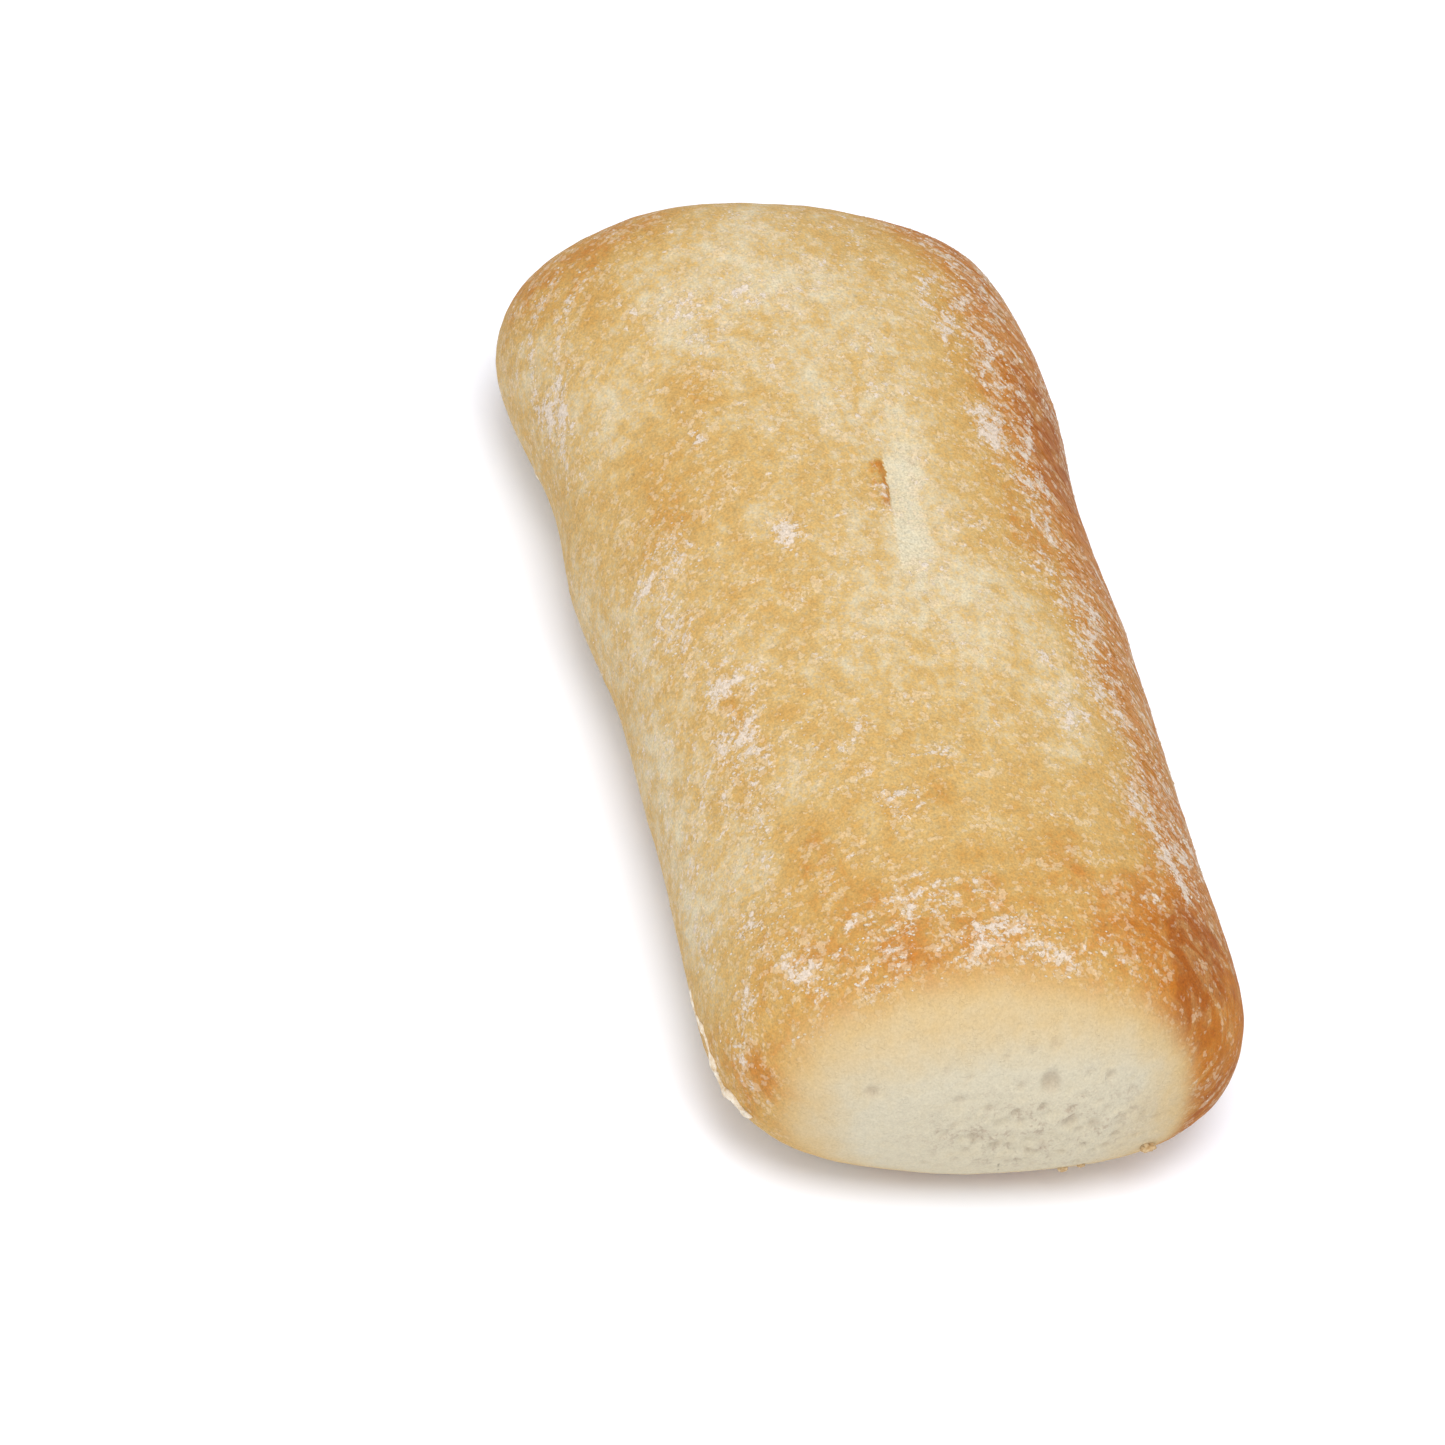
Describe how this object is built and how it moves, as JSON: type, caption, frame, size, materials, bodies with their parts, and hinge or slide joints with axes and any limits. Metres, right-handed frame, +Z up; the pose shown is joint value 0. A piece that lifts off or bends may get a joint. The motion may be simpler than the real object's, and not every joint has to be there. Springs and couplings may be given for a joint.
{
  "type": "ciabatta roll",
  "caption": "Flat oblong ciabatta roll with a floured golden crust, a slight waist and a pale end of open crumb; lies flat on its base.",
  "frame": {"origin": "on the surface the roll rests on, under the middle of its bounding box", "axes": "+X along the roll towards the pale end of open crumb, +Y towards the browner long side, +Z up"},
  "size_m": [0.1601, 0.0789, 0.0395],
  "materials": {
    "crust": "baked wheat crust, matt, dusted with flour, paler at the ends"
  },
  "bodies": {
    "root": {"roll": "crust"}
  },
  "joints": []
}
